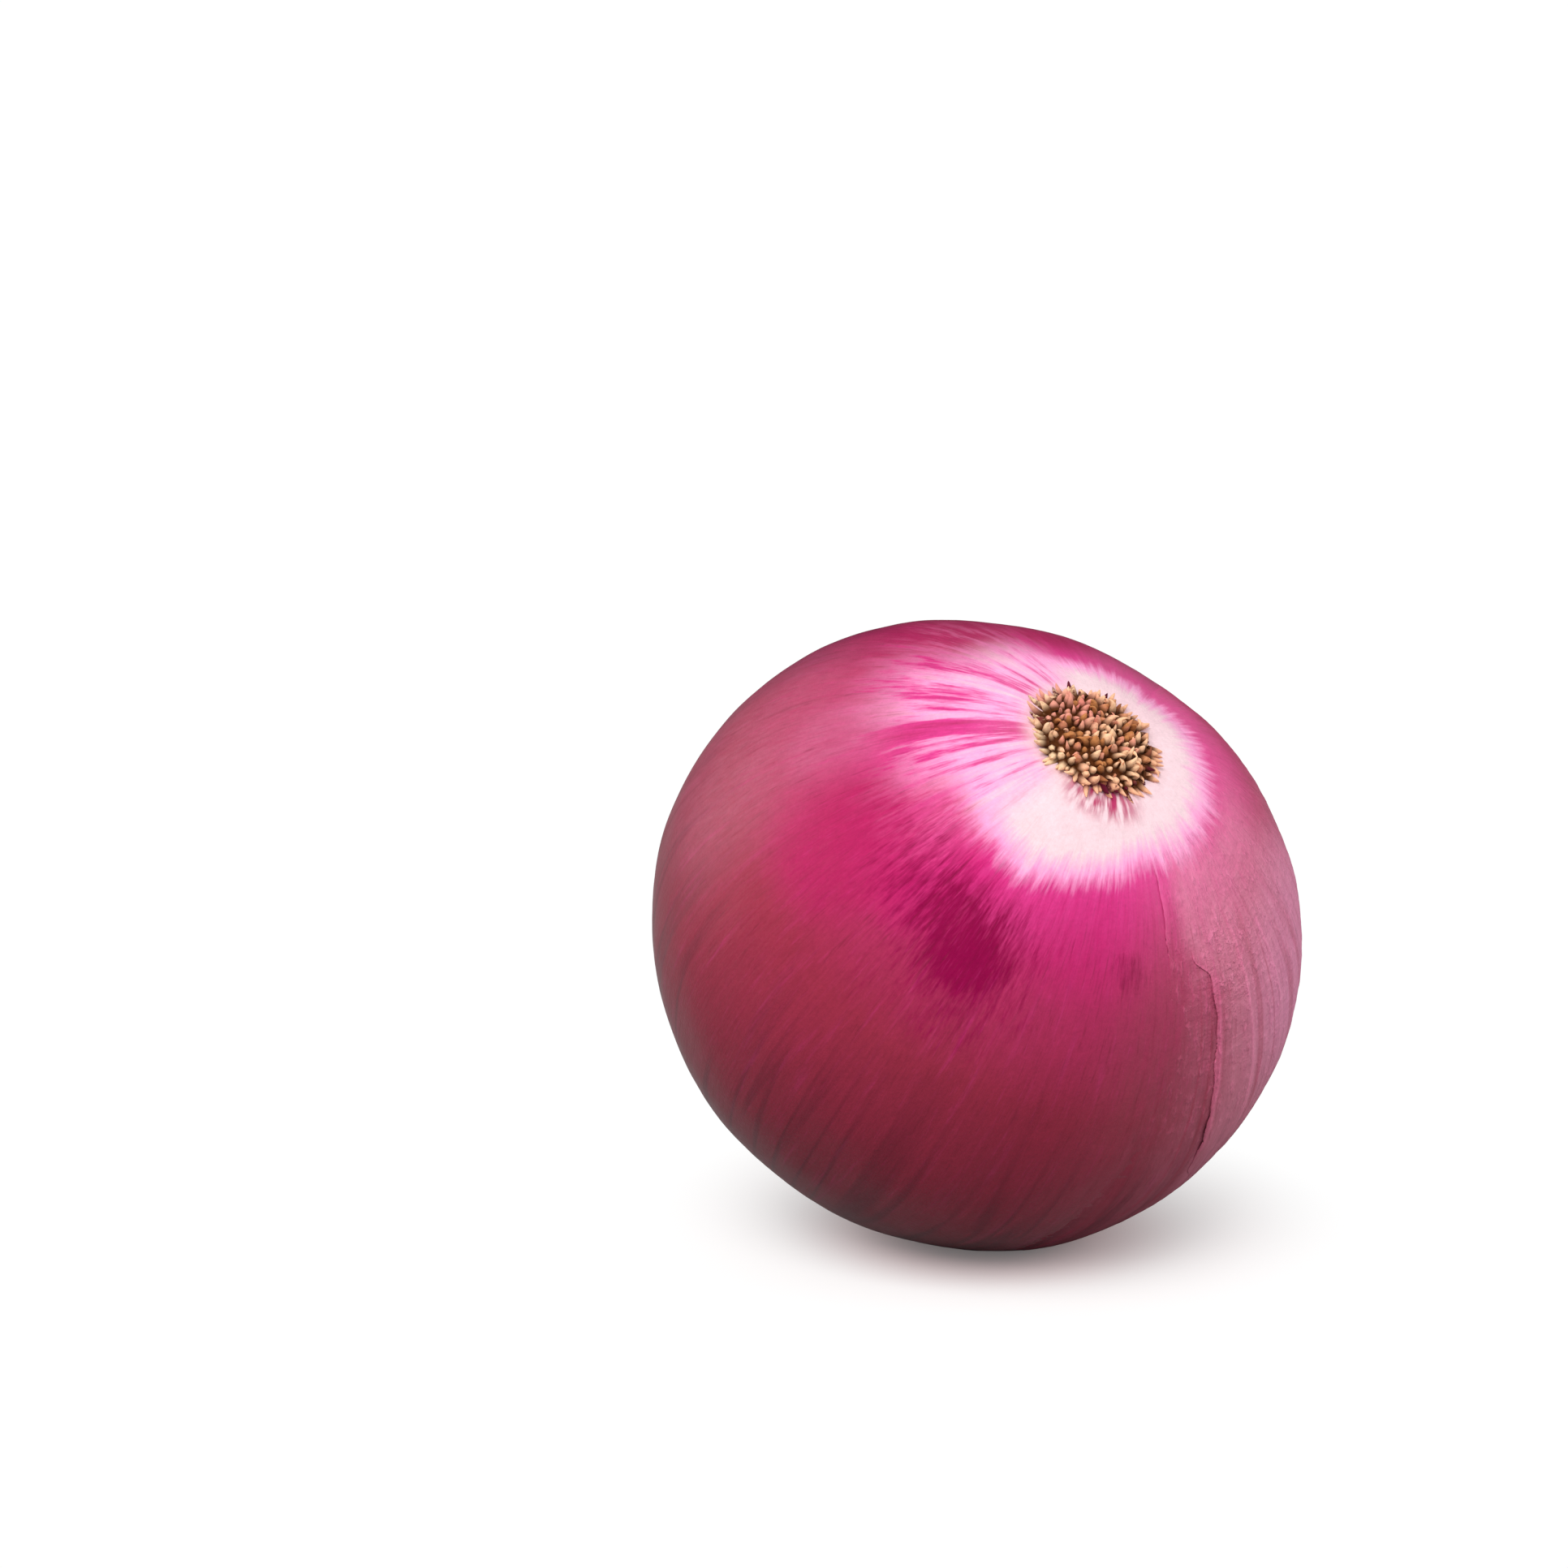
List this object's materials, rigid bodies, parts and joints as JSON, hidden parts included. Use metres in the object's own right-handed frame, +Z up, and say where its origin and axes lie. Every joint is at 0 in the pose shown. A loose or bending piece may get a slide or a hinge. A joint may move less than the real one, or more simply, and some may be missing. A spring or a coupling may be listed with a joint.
{
  "type": "red onion",
  "caption": "Whole red onion lying root end up: a squat round bulb, a dry root tuft, a loose papery skin and a folded neck.",
  "frame": {"origin": "middle of the small flat spot that the bulb rests on, at the height of the table", "axes": "+Z up; the root end leans 40 degrees from +Z towards -Y; the neck lies along the table towards +Y; +X to the right when seen from -Y, the side with the loose skin"},
  "size_m": [0.0772, 0.0811, 0.0718],
  "materials": {
    "bulb_skin": "satin fleshy skin, white and hot pink at the root end, through magenta and crimson to dark maroon, finely veined",
    "papery_skin": "dry papery skin, dusty pink over crimson, fine wrinkles along the veins",
    "dry_root": "matt dry root fibre, tan to dark brown, peach at the rim",
    "dry_neck": "dry twisted leaf bases, crimson with straw-coloured tips"
  },
  "bodies": {
    "root": {"bulb": "bulb_skin", "dry_skin": "papery_skin", "root_tuft": "dry_root", "neck": "dry_neck"}
  },
  "joints": []
}
